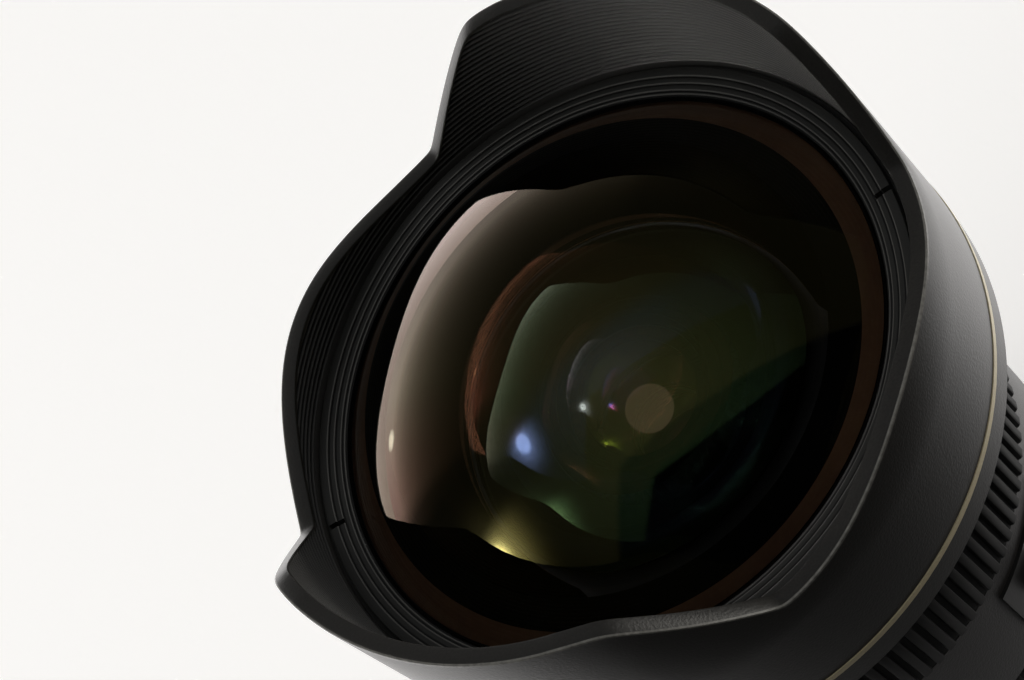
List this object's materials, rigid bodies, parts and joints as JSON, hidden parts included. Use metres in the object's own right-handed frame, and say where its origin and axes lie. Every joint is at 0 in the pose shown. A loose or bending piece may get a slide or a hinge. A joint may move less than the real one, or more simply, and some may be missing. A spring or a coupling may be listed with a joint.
{
  "type": "camera lens",
  "caption": "Wide-angle zoom camera lens with a fixed petal hood, domed front glass, turning zoom and focus rings, sliding glass groups, bladed iris and bayonet mount.",
  "frame": {"origin": "centre of the mounting flange's rear face, on the optical axis", "axes": "+Z along the optical axis towards the front glass, +Y towards the lens's top (index dot, distance window and one long petal)"},
  "size_m": [0.098, 0.098, 0.1375],
  "materials": {
    "stainless": "bright",
    "screw_steel": "satin",
    "black_screw": "black oxide",
    "gasket_rubber": "matt",
    "black_abs": "matt",
    "gold_contact": "bright",
    "barrel_paint": "satin fine texture",
    "white_enamel": "gloss",
    "board_laminate": "solder mask",
    "amber_film": "film",
    "anodised_black": "black anodised",
    "bright_aluminium": "turned",
    "clear_window": "clear",
    "hood_finish": "satin fine texture",
    "gold_paint": "satin",
    "trim_black": "matt",
    "grip_rubber": "matt",
    "numeral_band": "satin",
    "key_steel": "ground",
    "scale_drum": "satin",
    "motor_metal": "turned",
    "spring_steel": "bright",
    "coated_glass": "coated",
    "edge_black": "matt",
    "roller_brass": "turned",
    "blade_steel": "dry film",
    "switch_black": "fine texture"
  },
  "bodies": {
    "root": {"bayonet_mount": "stainless", "mount_screws": "screw_steel", "mount_gasket": "gasket_rubber", "contact_block": "black_abs", "contact_pins": "gold_contact", "rear_light_shield": "black_abs", "rear_barrel": "barrel_paint", "index_dot": "white_enamel", "circuit_board": "board_laminate", "flex_strip": "amber_film", "guide_tube": "anodised_black", "main_barrel": "barrel_paint", "distance_window": "clear_window", "switch_plate": "switch_black", "hood_screws": "black_screw", "motor_stator": "motor_metal", "motor_spring": "spring_steel", "hood_barrel": "hood_finish", "gold_ring": "gold_paint", "front_trim_ring": "trim_black"},
    "zoom": {"zoom_ring": "numeral_band", "zoom_grip": "grip_rubber", "zoom_key": "key_steel", "cam_ring": "anodised_black"},
    "focus": {"focus_ring": "numeral_band", "focus_grip": "grip_rubber", "clutch_ring": "key_steel", "distance_scale": "scale_drum", "motor_rotor": "bright_aluminium", "focus_key": "key_steel"},
    "front_group": {"front_cell": "anodised_black", "front_glass": "coated_glass", "second_glass": "coated_glass", "inner_front_glasses": "coated_glass", "glass_edge_band": "edge_black", "front_rollers": "roller_brass"},
    "sleeve": {"focus_sleeve": "anodised_black"},
    "focus_group": {"focus_cell": "anodised_black", "focus_glasses": "coated_glass", "focus_pins": "roller_brass"},
    "rear_group": {"rear_cell": "anodised_black", "rear_rollers": "roller_brass", "iris_base": "anodised_black", "iris_cover": "anodised_black", "iris_front_glasses": "coated_glass", "iris_rear_glasses": "coated_glass", "field_glasses": "coated_glass", "rear_glasses": "coated_glass"},
    "iris_control": {"iris_ring": "bright_aluminium"},
    "lever": {"aperture_lever": "key_steel"},
    "switch": {"mode_switch": "switch_black"},
    "blade_1": {"blade_1": "blade_steel"},
    "blade_2": {"blade_2": "blade_steel"},
    "blade_3": {"blade_3": "blade_steel"},
    "blade_4": {"blade_4": "blade_steel"},
    "blade_5": {"blade_5": "blade_steel"},
    "blade_6": {"blade_6": "blade_steel"},
    "blade_7": {"blade_7": "blade_steel"},
    "blade_8": {"blade_8": "blade_steel"},
    "blade_9": {"blade_9": "blade_steel"}
  },
  "joints": [
    {"name": "zoom_turn", "type": "hinge", "parent": "root", "child": "zoom", "pos_m": [0, 0, 0.027], "axis": [0, 0, 1], "range_deg": [0, 60]},
    {"name": "front_group_slide", "type": "slide", "parent": "root", "child": "front_group", "axis": [0, 0, 1], "range_m": [-0.013, 0]},
    {"name": "rear_group_slide", "type": "slide", "parent": "root", "child": "rear_group", "axis": [0, 0, 1], "range_m": [0, 0.012]},
    {"name": "focus_turn", "type": "hinge", "parent": "root", "child": "focus", "pos_m": [0, 0, 0.074], "axis": [0, 0, 1], "range_deg": [0, 90]},
    {"name": "sleeve_turn", "type": "hinge", "parent": "front_group", "child": "sleeve", "pos_m": [0, 0, 0.083], "axis": [0, 0, 1], "range_deg": [0, 90]},
    {"name": "focus_group_slide", "type": "slide", "parent": "front_group", "child": "focus_group", "axis": [0, 0, 1], "range_m": [-0.003, 0]},
    {"name": "lever_turn", "type": "hinge", "parent": "root", "child": "lever", "pos_m": [0, 0, 0.004], "axis": [0, 0, 1], "range_deg": [0, 24]},
    {"name": "iris_ring_turn", "type": "hinge", "parent": "rear_group", "child": "iris_control", "pos_m": [0, 0, 0.0366], "axis": [0, 0, 1], "range_deg": [0, 24]},
    {"name": "mode_switch_turn", "type": "hinge", "parent": "root", "child": "switch", "pos_m": [0, 0, 0.0515], "axis": [0, 0, 1], "range_deg": [0, 8]},
    {"name": "blade_1_swing", "type": "hinge", "parent": "rear_group", "child": "blade_1", "pos_m": [0.0167, 0, 0.0343], "axis": [0, 0, 1], "range_deg": [0, 31.27]},
    {"name": "blade_2_swing", "type": "hinge", "parent": "rear_group", "child": "blade_2", "pos_m": [0.01279, 0.01073, 0.0343], "axis": [0, 0, 1], "range_deg": [0, 31.27]},
    {"name": "blade_3_swing", "type": "hinge", "parent": "rear_group", "child": "blade_3", "pos_m": [0.0029, 0.01645, 0.0343], "axis": [0, 0, 1], "range_deg": [0, 31.27]},
    {"name": "blade_4_swing", "type": "hinge", "parent": "rear_group", "child": "blade_4", "pos_m": [-0.00835, 0.01446, 0.0343], "axis": [0, 0, 1], "range_deg": [0, 31.27]},
    {"name": "blade_5_swing", "type": "hinge", "parent": "rear_group", "child": "blade_5", "pos_m": [-0.01569, 0.00571, 0.0343], "axis": [0, 0, 1], "range_deg": [0, 31.27]},
    {"name": "blade_6_swing", "type": "hinge", "parent": "rear_group", "child": "blade_6", "pos_m": [-0.01569, -0.00571, 0.0343], "axis": [0, 0, 1], "range_deg": [0, 31.27]},
    {"name": "blade_7_swing", "type": "hinge", "parent": "rear_group", "child": "blade_7", "pos_m": [-0.00835, -0.01446, 0.0343], "axis": [0, 0, 1], "range_deg": [0, 31.27]},
    {"name": "blade_8_swing", "type": "hinge", "parent": "rear_group", "child": "blade_8", "pos_m": [0.0029, -0.01645, 0.0343], "axis": [0, 0, 1], "range_deg": [0, 31.27]},
    {"name": "blade_9_swing", "type": "hinge", "parent": "rear_group", "child": "blade_9", "pos_m": [0.01279, -0.01073, 0.0343], "axis": [0, 0, 1], "range_deg": [0, 31.27]}
  ],
  "couplings": [
    {"joint": "front_group_slide", "follows": "zoom_turn", "m_per_rad": -0.012414},
    {"joint": "rear_group_slide", "follows": "zoom_turn", "m_per_rad": 0.011459},
    {"joint": "sleeve_turn", "follows": "focus_turn", "ratio": 1},
    {"joint": "focus_group_slide", "follows": "focus_turn", "m_per_rad": -0.0019099},
    {"joint": "iris_ring_turn", "follows": "lever_turn", "ratio": 1},
    {"joint": "blade_1_swing", "follows": "lever_turn", "ratio": 1.3027},
    {"joint": "blade_2_swing", "follows": "lever_turn", "ratio": 1.3027},
    {"joint": "blade_3_swing", "follows": "lever_turn", "ratio": 1.3027},
    {"joint": "blade_4_swing", "follows": "lever_turn", "ratio": 1.3027},
    {"joint": "blade_5_swing", "follows": "lever_turn", "ratio": 1.3027},
    {"joint": "blade_6_swing", "follows": "lever_turn", "ratio": 1.3027},
    {"joint": "blade_7_swing", "follows": "lever_turn", "ratio": 1.3027},
    {"joint": "blade_8_swing", "follows": "lever_turn", "ratio": 1.3027},
    {"joint": "blade_9_swing", "follows": "lever_turn", "ratio": 1.3027}
  ]
}
